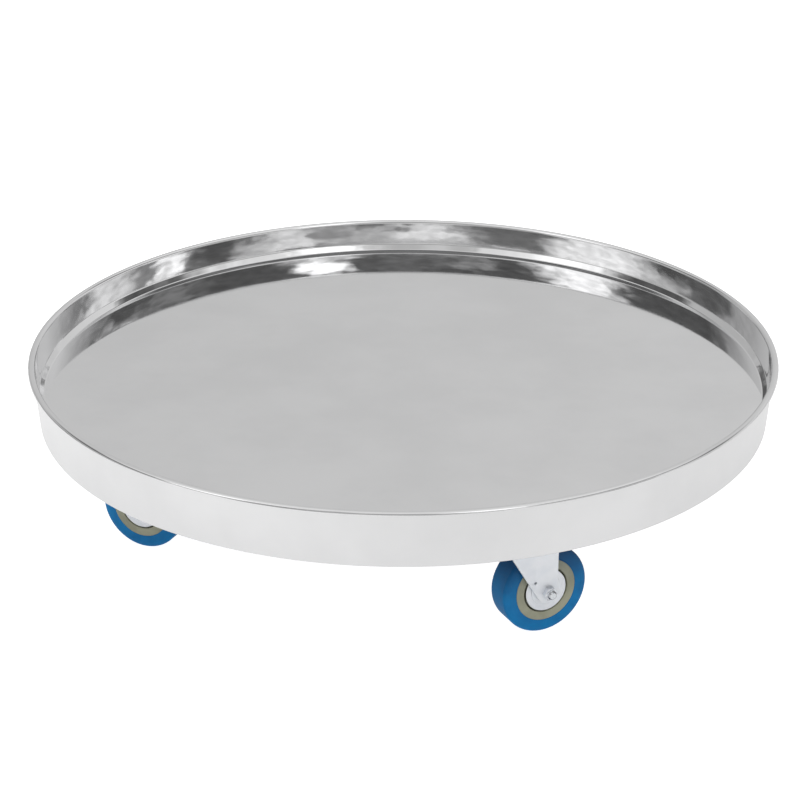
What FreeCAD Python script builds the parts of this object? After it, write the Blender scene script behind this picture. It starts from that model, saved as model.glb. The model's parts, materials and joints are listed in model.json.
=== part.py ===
import FreeCAD, Part
import math
import os
import re
import Sketcher

# Drum dolly: a round sheet-metal tray with a deep outer skirt, stiffened underneath by a cross of
# folded channels that carries four swivel casters.  Millimetres, +Z up, origin on the ground under
# the tray's centre.  Each caster's own frame has its origin on the ground under the swivel axis and
# its X axis along the trail, from the swivel axis to the wheel.

SIZES = {
    # tray pan
    "rim_radius": 325.0,          # outside of the turned lip
    "lip_width": 6.0,
    "lip_drop": 3.2,
    "lip_inner_bend": 3.0,        # outside radius of the bend from wall to lip
    "lip_outer_bend": 2.4,
    "wall_lean": 3.0,             # how much wider the wall is at the lip than at the floor
    "well_depth": 28.5,
    "floor_bend": 10.0,
    "pan_sheet": 1.2,
    # skirt
    "skirt_sheet": 1.0,
    "skirt_foot_radius": 317.6,
    "skirt_foot_level": 97.0,
    "skirt_gap": 0.05,
    # channels under the pan
    "channel_width": 75.0,
    "channel_height": 16.3,
    "channel_sheet": 2.0,
    "channel_reach": 297.0,       # from the centre to a channel's end
    "channel_bend": 1.0,          # inside radius of a fold
    # caster layout
    "caster_circle": 262.0,       # radius of the swivel axes
    "caster_height": 100.0,
    "front_heading": 9.5,         # way each wheel trails at rest, in degrees from +X
    "left_heading": -42.0,
    "right_heading": 160.0,
    "rear_heading": 237.0,
    # caster top plate
    "plate_side": 60.0,
    "plate_sheet": 2.5,
    "plate_corner": 8.0,
    "bolt_spacing": 46.0,
    "bolt_hole_radius": 3.3,
    "race_inner": 13.5,
    "race_outer": 22.5,
    "race_drop": 2.3,
    # swivel bearing
    "upper_ball_radius": 3.0,
    "upper_ring_radius": 18.0,
    "upper_ball_count": 17.0,
    "upper_ball_sink": 0.8,       # how deep a ball sits in the crown
    "lower_ball_radius": 2.0,
    "lower_ring_radius": 9.5,
    "lower_ball_count": 14.0,
    "lower_ball_sink": 0.5,
    "race_play": 0.05,
    "pin_radius": 5.0,
    "pin_fit": 0.03,
    "pin_flare": 1.5,             # height and width of the riveted end
    "pin_head_radius": 8.5,
    "pin_head_height": 3.5,
    "cup_radius": 13.2,
    "cup_floor": 2.5,
    "cup_rim": 1.2,
    "cup_depth": 3.9,
    # fork
    "crown_level": 91.0,
    "fork_sheet": 2.5,
    "fork_gap": 28.0,             # between the legs, at the axle
    "trail": 35.0,
    "leg_end_radius": 9.8,
    "leg_rear": 8.2,              # from the axle back to a leg's upright edge
    "leg_flare": 5.5,             # how far a leg's leading part leans out, seen from above
    "crease_place": 23.2,
    "crown_flank": 16.0,          # where the crown's round nose begins, ahead of the swivel axis
    "crown_nose": 27.0,           # how far the crown reaches ahead of the swivel axis
    "crown_nose_width": 22.0,
    "crown_corner": 9.0,
    "crease_round": 4.0,
    "slant_place": 7.4,           # where a leg's slanted edge meets the crown
    "crown_bore": 5.6,
    "leg_hole_radius": 1.3,
    "leg_hole_ahead": 12.2,
    "leg_hole_rise": 11.0,
    "crown_bend": 2.2,
    # wheel
    "wheel_radius": 37.5,
    "wheel_width": 24.0,
    "tread_width": 22.0,
    "side_radius": 33.0,
    "tread_round": 3.0,
    "side_round": 6.0,
    "core_radius": 26.5,
    "core_rib": 2.0,
    "core_rib_width": 8.0,
    "core_rim_inner": 19.4,
    "core_web": 8.0,
    "hub_radius": 11.5,
    "hub_width": 19.8,
    "bush_radius": 8.0,
    "bush_flange_radius": 9.2,
    "bush_flange": 1.0,
    "bush_length": 9.0,
    "seat_gap": 0.02,
    # axle set
    "axle_radius": 3.0,
    "axle_hole_radius": 3.1,
    "sleeve_radius": 5.0,
    "bush_play": 0.05,
    "disc_radius": 18.0,
    "disc_sheet": 0.9,
    "disc_boss": 6.5,
    "disc_slope_end": 9.5,
    "disc_plane": 12.4,           # outer face of the disc's flat, from the wheel's middle
    "disc_bead_radius": 12.6,
    "disc_bead_width": 1.0,
    "disc_bead_depth": 0.35,
    "end_play": 0.05,
    # hexagon fasteners, M6
    "hex_across": 10.0,
    "hex_height": 4.0,
    "hex_chamfer": 0.9,
    "hex_face_radius": 4.8,       # round flat left inside the chamfer
    "thread_end": 1.5,
    "lock_nut_height": 6.0,
    "lock_collar_radius": 4.3,
    "lock_collar_height": 1.8,
    "nut_bore_radius": 3.02,
    "washer_radius": 6.0,
    "washer_hole_radius": 3.2,
    "washer_thick": 1.2,
    "bolt_length": 12.0,
    "weld_nut_height": 5.0,
}

doc = FreeCAD.newDocument("drum_dolly")
sheet = doc.addObject("Spreadsheet::Sheet", "Sizes")
for row, (alias, number) in enumerate(SIZES.items(), start=1):
    sheet.set("A%d" % row, alias)
    sheet.set("B%d" % row, str(number))
    sheet.setAlias("B%d" % row, alias)
doc.recompute()

# Levels and radii that follow from the driving sizes, as expressions of them.
PAN_UNDER = "(caster_height + channel_height)"
PAN_TOP = "(%s + pan_sheet)" % PAN_UNDER
RIM_LEVEL = "(%s + well_depth)" % PAN_TOP
WALL_TOP = "(rim_radius - lip_width)"
WALL_FOOT = "(%s - wall_lean)" % WALL_TOP
PLATE_UNDER = "(caster_height - plate_sheet)"
CROWN_UNDER = "(crown_level - fork_sheet)"
UPPER_BALL_LEVEL = "(crown_level - upper_ball_sink + upper_ball_radius)"
LOWER_BALL_LEVEL = "(%s + lower_ball_sink - lower_ball_radius)" % CROWN_UNDER
CUP_TOP = "(%s - lower_ball_radius + 2 * lower_ball_sink)" % LOWER_BALL_LEVEL
CUP_UNDER = "(%s - cup_floor)" % CUP_TOP
LEG_INSIDE = "(fork_gap / 2)"
LEG_OUTSIDE = "(fork_gap / 2 + fork_sheet)"
SLEEVE_END = "(fork_gap / 2 - end_play - disc_sheet - end_play)"
WASHER_UNDER = "(%s - washer_thick)" % PLATE_UNDER


# ---------------------------------------------------------------- expressions and sketches

def cells(text):
    """The expression with each size name turned into a reference to its cell."""
    return re.sub(r"[a-z][a-z_]+", lambda m: "Sizes." + m[0] if m[0] in SIZES else m[0], text)


def value(text):
    """The number that an expression of the sizes has now."""
    return float(sheet.evalExpression(cells(text)))


def new_body(name, x="0", y="0", z="0", turn="0"):
    """An empty body at x, y, z, turned about the vertical by turn degrees."""
    body = doc.addObject("PartDesign::Body", name)
    body.Label = name
    body.AllowCompound = True
    for axis, text in zip("xyz", (x, y, z)):
        body.setExpression("Placement.Base." + axis, cells(text))
    body.setExpression("Placement.Rotation.Angle", cells(turn))
    return body


def origin_part(body, role):
    """The body's own origin plane or axis of that role."""
    return next(item for item in body.Origin.OriginFeatures if item.Role == role)


def new_sketch(body, plane, offset="0"):
    """An empty sketch on one of the body's origin planes, moved along the plane's normal."""
    sketch = body.newObject("Sketcher::SketchObject", body.Label + "_sketch")
    sketch.AttachmentSupport = [(origin_part(body, plane), "")]
    sketch.MapMode = "FlatFace"
    sketch.setExpression("AttachmentOffset.Base.z", cells(offset))
    return sketch


def limit(sketch, kind, text, *targets):
    """One dimension of the sketch, bound to an expression of the sizes."""
    index = sketch.addConstraint(Sketcher.Constraint(kind, *targets, value(text)))
    sketch.setExpression("Constraints[%d]" % index, cells(text))


def pin_point(sketch, item, end, x, y):
    """Holds a point of the sketch at x, y from the sketch's origin."""
    limit(sketch, "DistanceX", x, -1, 1, item, end)
    limit(sketch, "DistanceY", y, -1, 1, item, end)


def outline(sketch, corners):
    """A closed outline of straight sides; each corner is a pair of expressions."""
    places = [FreeCAD.Vector(value(x), value(y), 0) for x, y in corners]
    first = sketch.GeometryCount
    count = len(corners)
    for index, place in enumerate(places):
        sketch.addGeometry(Part.LineSegment(place, places[(index + 1) % count]))
    for index, (x, y) in enumerate(corners):
        following = first + (index + 1) % count
        sketch.addConstraint(Sketcher.Constraint("Coincident", first + index, 2, following, 1))
        pin_point(sketch, first + index, 1, x, y)


def box(sketch, low_x, low_y, high_x, high_y):
    """A rectangle between two opposite corners."""
    outline(sketch, [(low_x, low_y), (high_x, low_y), (high_x, high_y), (low_x, high_y)])


def circle(sketch, x, y, radius):
    """A circle about x, y."""
    centre = FreeCAD.Vector(value(x), value(y), 0)
    item = sketch.addGeometry(Part.Circle(centre, FreeCAD.Vector(0, 0, 1), value(radius)))
    pin_point(sketch, item, 3, x, y)
    limit(sketch, "Radius", radius, item)


def hexagon(sketch, x, y, across):
    """A regular hexagon about x, y, with its flats across apart."""
    corners = []
    for step in range(6):
        turn = "(%d deg)" % (60 * step)
        corners.append(("%s + %s / sqrt(3) * cos%s" % (x, across, turn),
                        "%s + %s / sqrt(3) * sin%s" % (y, across, turn)))
    outline(sketch, corners)


def mirror_corners(corners):
    """The corners of a profile's +Y half, followed by their mirror images, as one outline."""
    return corners + [(x, "-(%s)" % y) for x, y in reversed(corners)]


# ---------------------------------------------------------------- features

def extrude(body, sketch, length, both_ways=False):
    """A pad of the sketch."""
    pad = body.newObject("PartDesign::Pad", body.Label + "_pad")
    pad.Profile = sketch
    pad.Midplane = both_ways
    pad.setExpression("Length", cells(length))
    return pad


def pierce(body, sketch):
    """A pocket through everything, both ways from the sketch."""
    pocket = body.newObject("PartDesign::Pocket", body.Label + "_pocket")
    pocket.Profile = sketch
    pocket.Type = "ThroughAll"
    pocket.Midplane = True
    return pocket


def sink(body, sketch, depth, reverse=False):
    """A pocket of a given depth."""
    pocket = body.newObject("PartDesign::Pocket", body.Label + "_pocket")
    pocket.Profile = sketch
    pocket.Reversed = reverse
    pocket.setExpression("Length", cells(depth))
    return pocket


def spin(body, sketch, cut=False):
    """A full turn of the sketch about its upright axis, added to the body or cut from it."""
    kind = "Groove" if cut else "Revolution"
    feature = body.newObject("PartDesign::" + kind, body.Label + "_" + kind.lower())
    feature.Profile = sketch
    feature.ReferenceAxis = (sketch, ["V_Axis"])
    feature.Angle = 360
    return feature


def turned(name, profiles, plane="XZ_Plane", **place):
    """A body turned from one or more closed profiles."""
    body = new_body(name, **place)
    sketch = new_sketch(body, plane)
    for corners in profiles:
        outline(sketch, corners)
    spin(body, sketch)
    return body


def round_edges(body, radius, wanted):
    """A fillet on the edges of the body's tip that the function wanted picks."""
    doc.recompute()
    tip = body.Tip
    names = ["Edge%d" % (i + 1) for i, edge in enumerate(tip.Shape.Edges) if wanted(edge)]
    if not names:
        raise RuntimeError("no edge to round on " + body.Label)
    fillet = body.newObject("PartDesign::Fillet", body.Label + "_fillet")
    fillet.Base = (tip, names)
    fillet.setExpression("Radius", cells(radius))
    return fillet


def ring_edge(radius, level, axis="z"):
    """Picks the round edge of that radius whose circle lies at that level of the axis."""
    def wanted(edge):
        curve = edge.Curve
        if not isinstance(curve, Part.Circle):
            return False
        same_level = abs(getattr(curve.Center, axis) - value(level)) < 0.01
        return same_level and abs(curve.Radius - value(radius)) < 0.01
    return wanted


def mirrored(body, features, plane):
    """The features repeated on the other side of one of the body's planes."""
    mirror = body.newObject("PartDesign::Mirrored", body.Label + "_mirror")
    mirror.Originals = features
    mirror.MirrorPlane = (origin_part(body, plane), [""])
    body.Tip = mirror
    return mirror


def polar(body, features, count):
    """The features repeated around the body's upright axis."""
    pattern = body.newObject("PartDesign::PolarPattern", body.Label + "_ring")
    pattern.Originals = features
    pattern.Axis = (origin_part(body, "Z_Axis"), [""])
    pattern.Angle = 360
    pattern.setExpression("Occurrences", cells(count))
    body.Tip = pattern
    return pattern


def at_every_bolt(body, features):
    """The features of one corner bolt repeated at the sixteen bolts of the four top plates."""
    steps = []
    for role in ("X_Axis", "Y_Axis"):
        row = doc.addObject("PartDesign::LinearPattern", body.Label + "_row")
        row.Direction = (origin_part(body, role), [""])
        row.setExpression("Length", "Sizes.bolt_spacing")
        row.Occurrences = 2
        steps.append(row)
    round_tray = doc.addObject("PartDesign::PolarPattern", body.Label + "_round")
    round_tray.Axis = (origin_part(body, "Z_Axis"), [""])
    round_tray.Angle = 360
    round_tray.Occurrences = 4
    steps.append(round_tray)
    pattern = body.newObject("PartDesign::MultiTransform", body.Label + "_pattern")
    pattern.Originals = features
    pattern.Transformations = steps
    body.Tip = pattern
    return pattern


# ---------------------------------------------------------------- tray

def build_pan():
    """The pressed tray: flat floor, rounded corner, leaning wall and turned lip."""
    lip_under = RIM_LEVEL + " - pan_sheet"
    lip_inside = "rim_radius - pan_sheet"
    lip_foot = RIM_LEVEL + " - lip_drop"
    body = turned("tray_pan", [[
        ("0", PAN_UNDER),
        (WALL_FOOT + " + pan_sheet", PAN_UNDER),
        (WALL_TOP + " + pan_sheet", lip_under),
        (lip_inside, lip_under),
        (lip_inside, lip_foot),
        ("rim_radius", lip_foot),
        ("rim_radius", RIM_LEVEL),
        (WALL_TOP, RIM_LEVEL),
        (WALL_FOOT, PAN_TOP),
        ("0", PAN_TOP),
    ]])
    round_edges(body, "floor_bend", ring_edge(WALL_FOOT, PAN_TOP))
    round_edges(body, "floor_bend + pan_sheet", ring_edge(WALL_FOOT + " + pan_sheet", PAN_UNDER))
    round_edges(body, "lip_inner_bend", ring_edge(WALL_TOP, RIM_LEVEL))
    round_edges(body, "lip_inner_bend - pan_sheet", ring_edge(WALL_TOP + " + pan_sheet", lip_under))
    round_edges(body, "lip_outer_bend", ring_edge("rim_radius", RIM_LEVEL))
    round_edges(body, "lip_outer_bend - pan_sheet", ring_edge(lip_inside, lip_under))
    return body


def build_skirt():
    """The outer band: a shallow cone of sheet that hangs from under the lip past the floor."""
    top_inside = WALL_TOP + " + pan_sheet + skirt_gap"
    top_level = RIM_LEVEL + " - lip_inner_bend"
    return turned("skirt_band", [[
        ("skirt_foot_radius - skirt_sheet", "skirt_foot_level"),
        ("skirt_foot_radius", "skirt_foot_level"),
        (top_inside + " + skirt_sheet", top_level),
        (top_inside, top_level),
    ]])


def channel_section(sketch):
    """The folded U of a channel: web below, two flanges up to the pan."""
    half = "channel_width / 2"
    inside = "channel_width / 2 - channel_sheet"
    web_top = "caster_height + channel_sheet"
    outline(sketch, [
        ("-" + half, "caster_height"),
        (half, "caster_height"),
        (half, PAN_UNDER),
        (inside, PAN_UNDER),
        (inside, web_top),
        ("-(%s)" % inside, web_top),
        ("-(%s)" % inside, PAN_UNDER),
        ("-" + half, PAN_UNDER),
    ])


def bolt_corners(centre_x, centre_y):
    """The four hole centres of a top plate about that centre."""
    for side_x in ("-", "+"):
        for side_y in ("-", "+"):
            yield ("%s %s bolt_spacing / 2" % (centre_x, side_x),
                   "%s %s bolt_spacing / 2" % (centre_y, side_y))


def finish_channel(body, caster_centres, along):
    """Rounds the channel's two folds and drills it for the casters it carries."""
    across = "y" if along == "x" else "x"
    for level, half, radius in (("caster_height", "channel_width / 2", "channel_bend + channel_sheet"),
                                ("caster_height + channel_sheet", "channel_width / 2 - channel_sheet",
                                 "channel_bend")):
        def wanted(edge):
            box_of = edge.BoundBox
            runs_along = getattr(box_of, along.upper() + "Length") > value("channel_width")
            place = abs(getattr(edge.CenterOfMass, across))
            at_fold = abs(edge.CenterOfMass.z - value(level)) < 0.01
            return runs_along and at_fold and abs(place - value(half)) < 0.01
        round_edges(body, radius, wanted)
    holes = new_sketch(body, "XY_Plane")
    for centre_x, centre_y in caster_centres:
        for x, y in bolt_corners(centre_x, centre_y):
            circle(holes, x, y, "bolt_hole_radius")
    pierce(body, holes)


def build_channels():
    """One channel right across the tray, left to right, and two short ones that butt against it."""
    long_one = new_body("cross_channel_long")
    section = new_sketch(long_one, "YZ_Plane")
    channel_section(section)
    extrude(long_one, section, "2 * channel_reach", both_ways=True)
    finish_channel(long_one, [("caster_circle", "0"), ("-caster_circle", "0")], "x")

    short_length = "channel_reach - channel_width / 2"
    short = (("cross_channel_front", "channel_width / 2", "-caster_circle"),
             ("cross_channel_rear", "-channel_reach", "caster_circle"))
    bodies = [long_one]
    for name, start, caster_y in short:
        body = new_body(name)
        section = new_sketch(body, "XZ_Plane", start)
        channel_section(section)
        extrude(body, section, short_length)
        finish_channel(body, [("0", caster_y)], "y")
        bodies.append(body)
    return bodies


# ---------------------------------------------------------------- caster fixings

CORNER_X = "caster_circle - bolt_spacing / 2"
CORNER_Y = "-bolt_spacing / 2"


def build_fixings():
    """Hexagon bolts from below, their washers, and the nuts welded inside the channels."""
    bolts = new_body("caster_bolts")
    head = new_sketch(bolts, "XY_Plane", WASHER_UNDER + " - hex_height")
    hexagon(head, CORNER_X, CORNER_Y, "hex_across")
    shank = new_sketch(bolts, "XY_Plane", WASHER_UNDER)
    circle(shank, CORNER_X, CORNER_Y, "axle_radius")
    at_every_bolt(bolts, [extrude(bolts, head, "hex_height"), extrude(bolts, shank, "bolt_length")])

    washers = new_body("caster_washers")
    ring = new_sketch(washers, "XY_Plane", WASHER_UNDER)
    circle(ring, CORNER_X, CORNER_Y, "washer_radius")
    circle(ring, CORNER_X, CORNER_Y, "washer_hole_radius")
    at_every_bolt(washers, [extrude(washers, ring, "washer_thick")])

    nuts = new_body("weld_nuts")
    nut = new_sketch(nuts, "XY_Plane", "caster_height + channel_sheet")
    hexagon(nut, CORNER_X, CORNER_Y, "hex_across")
    circle(nut, CORNER_X, CORNER_Y, "nut_bore_radius")
    at_every_bolt(nuts, [extrude(nuts, nut, "weld_nut_height")])
    return [bolts, washers, nuts]


# ---------------------------------------------------------------- caster, fixed side

def build_top_plate(name, place):
    """The square plate, its pressed ring for the upper balls, and the countersunk pin hole."""
    body = new_body(name, **place)
    half = "plate_side / 2"
    square = new_sketch(body, "XY_Plane", PLATE_UNDER)
    box(square, "-" + half, "-" + half, half, half)
    extrude(body, square, "plate_sheet")

    def corner(edge):
        return edge.BoundBox.ZLength > value("plate_sheet") - 0.01
    round_edges(body, "plate_corner", corner)

    holes = new_sketch(body, "XY_Plane")
    for x, y in bolt_corners("0", "0"):
        circle(holes, x, y, "bolt_hole_radius")
    pierce(body, holes)

    ring = new_sketch(body, "XZ_Plane")
    box(ring, "race_inner", PLATE_UNDER + " - race_drop", "race_outer", PLATE_UNDER + " + plate_sheet / 2")
    spin(body, ring)

    track = new_sketch(body, "XZ_Plane")
    circle(track, "upper_ring_radius", UPPER_BALL_LEVEL, "upper_ball_radius + race_play")
    outline(track, [
        ("0", PLATE_UNDER + " - pin_fit"),
        ("pin_radius + pin_fit", PLATE_UNDER + " - pin_fit"),
        ("pin_radius + pin_fit", "caster_height - pin_flare"),
        ("pin_radius + pin_fit + pin_flare", "caster_height"),
        ("pin_radius + pin_fit + pin_flare", "caster_height + pin_fit"),
        ("0", "caster_height + pin_fit"),
    ])
    spin(body, track, cut=True)
    return body


def build_king_pin(name, place):
    """The swivel pin: flat head below the lower race, end riveted flush into the plate."""
    return turned(name, [[
        ("0", CUP_UNDER + " - pin_head_height"),
        ("pin_head_radius", CUP_UNDER + " - pin_head_height"),
        ("pin_head_radius", CUP_UNDER),
        ("pin_radius", CUP_UNDER),
        ("pin_radius", "caster_height - pin_flare"),
        ("pin_radius + pin_flare", "caster_height"),
        ("0", "caster_height"),
    ]], **place)


def build_race_cup(name, place):
    """The cup on the pin's head that carries the lower balls."""
    body = turned(name, [[
        ("pin_radius + pin_fit", CUP_UNDER),
        ("cup_radius", CUP_UNDER),
        ("cup_radius", CUP_UNDER + " + cup_depth"),
        ("cup_radius - cup_rim", CUP_UNDER + " + cup_depth"),
        ("cup_radius - cup_rim", CUP_TOP),
        ("pin_radius + pin_fit", CUP_TOP),
    ]], **place)
    track = new_sketch(body, "XZ_Plane")
    circle(track, "lower_ring_radius", LOWER_BALL_LEVEL, "lower_ball_radius + race_play")
    spin(body, track, cut=True)
    return body


# ---------------------------------------------------------------- caster, swivelling side

def build_balls(name, place):
    """The two rings of balls the fork swivels on."""
    body = new_body(name, **place)
    rings = (("upper_ball_radius", "upper_ring_radius", UPPER_BALL_LEVEL, "upper_ball_count"),
             ("lower_ball_radius", "lower_ring_radius", LOWER_BALL_LEVEL, "lower_ball_count"))
    for radius, ring_radius, level, count in rings:
        ball = body.newObject("PartDesign::AdditiveSphere", name + "_ball")
        ball.AttachmentSupport = [(origin_part(body, "XY_Plane"), "")]
        ball.MapMode = "FlatFace"
        ball.setExpression("AttachmentOffset.Base.x", cells(ring_radius))
        ball.setExpression("AttachmentOffset.Base.z", cells(level))
        ball.setExpression("Radius", cells(radius))
        polar(body, [ball], count)
    return body


def fork_plan(sketch, inset, rear, nose):
    """The fork seen from above: parallel at the axle, flared ahead of the crease, blunt nose."""
    side = LEG_OUTSIDE + " - " + inset
    wide = "%s + leg_flare" % side
    half = [(rear, side), ("crease_place", side), ("-crown_flank", wide), nose]
    outline(sketch, half + [(x, "-(%s)" % y) for x, y in reversed(half)])


def fork_side(sketch):
    """Everything outside a leg seen from the side: upright rear edge, round end, slanted front."""
    far = "4 * crown_nose"
    box(sketch, "-" + far, "-" + far, far, far)
    axle = FreeCAD.Vector(value("trail"), value("wheel_radius"), 0)
    radius = value("leg_end_radius")
    rear = value("trail + leg_rear")
    end = -math.acos(value("leg_rear") / radius)
    crown = value(CROWN_UNDER)
    top = value("caster_height")
    nose = value("-crown_nose - fork_sheet")
    slant = FreeCAD.Vector(value("-slant_place"), crown, 0) - axle
    start = math.atan2(slant.y, slant.x) + math.acos(radius / slant.Length)
    touch = axle + FreeCAD.Vector(math.cos(start), math.sin(start), 0) * radius
    stops = [(rear, axle.y + radius * math.sin(end)), (rear, top), (nose, top), (nose, crown), (value("-slant_place"), crown),
             (touch.x, touch.y)]
    round_end = Part.Circle(axle, FreeCAD.Vector(0, 0, 1), radius)
    first = sketch.addGeometry(Part.ArcOfCircle(round_end, start, 2 * math.pi + end))
    for near, following in zip(stops, stops[1:]):
        sketch.addGeometry(Part.LineSegment(FreeCAD.Vector(*near, 0), FreeCAD.Vector(*following, 0)))
    pin_point(sketch, first, 3, "trail", "wheel_radius")
    limit(sketch, "Radius", "leg_end_radius", first)
    last = first + len(stops) - 1
    sketch.addConstraint(Sketcher.Constraint("Coincident", first, 2, first + 1, 1))
    sketch.addConstraint(Sketcher.Constraint("Vertical", first + 1))
    for line in range(first + 1, last):
        sketch.addConstraint(Sketcher.Constraint("Coincident", line, 2, line + 1, 1))
    sketch.addConstraint(Sketcher.Constraint("Tangent", last, 2, first, 1))
    pin_point(sketch, first + 1, 2, "trail + leg_rear", "caster_height")
    pin_point(sketch, first + 2, 2, "-crown_nose - fork_sheet", "caster_height")
    pin_point(sketch, first + 3, 2, "-crown_nose - fork_sheet", CROWN_UNDER)
    pin_point(sketch, first + 4, 2, "-slant_place", CROWN_UNDER)


def build_fork(name, place):
    """The pressed fork: a crown on the king pin and two creased legs down to the axle."""
    body = new_body(name, **place)
    rear = "trail + leg_rear"
    plan = new_sketch(body, "XY_Plane")
    fork_plan(plan, "0", rear, ("-crown_nose", "crown_nose_width / 2"))
    extrude(body, plan, "crown_level")
    hollow = new_sketch(body, "XY_Plane")
    fork_plan(hollow, "fork_sheet", rear + " + 1", ("-2 * crown_nose", "%s + leg_flare" % LEG_INSIDE))
    sink(body, hollow, CROWN_UNDER, reverse=True)
    side = new_sketch(body, "XZ_Plane")
    fork_side(side)
    pierce(body, side)

    def upright_at(x, y):
        def wanted(edge):
            middle = edge.CenterOfMass
            placed = abs(middle.x - value(x)) < 0.01 and abs(abs(middle.y) - value(y)) < 0.01
            return placed and edge.BoundBox.ZLength > 1
        return wanted
    round_edges(body, "crease_round", upright_at("crease_place", LEG_OUTSIDE))
    round_edges(body, "crown_corner", upright_at("-crown_nose", "crown_nose_width / 2"))
    round_edges(body, "crown_corner", upright_at("-crown_flank", LEG_OUTSIDE + " + leg_flare"))

    def shoulder(edge):
        flat = edge.BoundBox.ZLength < 0.01 and abs(edge.CenterOfMass.z - value("crown_level")) < 0.01
        return flat and edge.CenterOfMass.x < value(rear) - 0.01
    round_edges(body, "crown_bend", shoulder)

    across = new_sketch(body, "XZ_Plane")
    circle(across, "trail", "wheel_radius", "axle_hole_radius")
    circle(across, "trail - leg_hole_ahead", "wheel_radius + leg_hole_rise", "leg_hole_radius")
    pierce(body, across)
    bore = new_sketch(body, "XZ_Plane")
    box(bore, "0", CROWN_UNDER + " - 1", "crown_bore", "crown_level + 1")
    circle(bore, "upper_ring_radius", UPPER_BALL_LEVEL, "upper_ball_radius + race_play")
    circle(bore, "lower_ring_radius", LOWER_BALL_LEVEL, "lower_ball_radius + race_play")
    spin(body, bore, cut=True)
    return body


def chamfer_hexagon(body, face, away):
    """Turns the corners off a hexagon at its free face, which looks the way of away."""
    corner = "hex_across / sqrt(3)"
    profile = new_sketch(body, "XY_Plane")
    outline(profile, [
        ("hex_face_radius", "%s" % face),
        ("%s + 1" % corner, "%s" % face),
        ("%s + 1" % corner, "%s - (%s) * hex_chamfer" % (face, away)),
    ])
    spin(body, profile, cut=True)


def build_axle(swivel, wheel_place):
    """The through bolt, its lock nut, the sleeve it clamps and the two pressed hub discs."""
    bolt = turned(swivel + "_axle_bolt", [[
        ("0", "-(%s + lock_nut_height + thread_end)" % LEG_OUTSIDE),
        ("axle_radius", "-(%s + lock_nut_height + thread_end)" % LEG_OUTSIDE),
        ("axle_radius", LEG_OUTSIDE),
        ("0", LEG_OUTSIDE),
    ]], plane="XY_Plane", **wheel_place)
    head = new_sketch(bolt, "XZ_Plane", "-(%s + hex_height)" % LEG_OUTSIDE)
    hexagon(head, "0", "0", "hex_across")
    extrude(bolt, head, "hex_height")
    chamfer_hexagon(bolt, LEG_OUTSIDE + " + hex_height", "1")

    nut = new_body(swivel + "_axle_nut", **wheel_place)
    flats = new_sketch(nut, "XZ_Plane", LEG_OUTSIDE)
    hexagon(flats, "0", "0", "hex_across")
    extrude(nut, flats, "lock_nut_height - lock_collar_height")
    collar = new_sketch(nut, "XZ_Plane", LEG_OUTSIDE)
    circle(collar, "0", "0", "lock_collar_radius")
    extrude(nut, collar, "lock_nut_height")
    chamfer_hexagon(nut, "-(%s + lock_nut_height - lock_collar_height)" % LEG_OUTSIDE, "-1")
    bore = new_sketch(nut, "XZ_Plane")
    circle(bore, "0", "0", "nut_bore_radius")
    pierce(nut, bore)

    sleeve = turned(swivel + "_axle_sleeve", [mirror_corners([
        ("axle_hole_radius", SLEEVE_END),
        ("sleeve_radius", SLEEVE_END),
    ])], plane="XY_Plane", **wheel_place)

    boss_out = LEG_INSIDE + " - end_play"
    boss_in = boss_out + " - disc_sheet"
    bead_mid = "disc_bead_radius"
    discs = new_body(swivel + "_hub_discs", **wheel_place)
    profile = new_sketch(discs, "XY_Plane")
    outline(profile, [
        ("axle_hole_radius", boss_out),
        ("disc_boss", boss_out),
        ("disc_slope_end", "disc_plane"),
        (bead_mid + " - disc_bead_width", "disc_plane"),
        (bead_mid, "disc_plane - disc_bead_depth"),
        (bead_mid + " + disc_bead_width", "disc_plane"),
        ("disc_radius", "disc_plane"),
        ("disc_radius", "disc_plane - disc_sheet"),
        ("disc_slope_end - disc_sheet / 2", "disc_plane - disc_sheet"),
        ("disc_boss - disc_sheet / 2", boss_in),
        ("axle_hole_radius", boss_in),
    ])
    mirrored(discs, [spin(discs, profile)], "XZ_Plane")
    return [bolt, nut, sleeve, discs]


# ---------------------------------------------------------------- wheel

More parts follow.
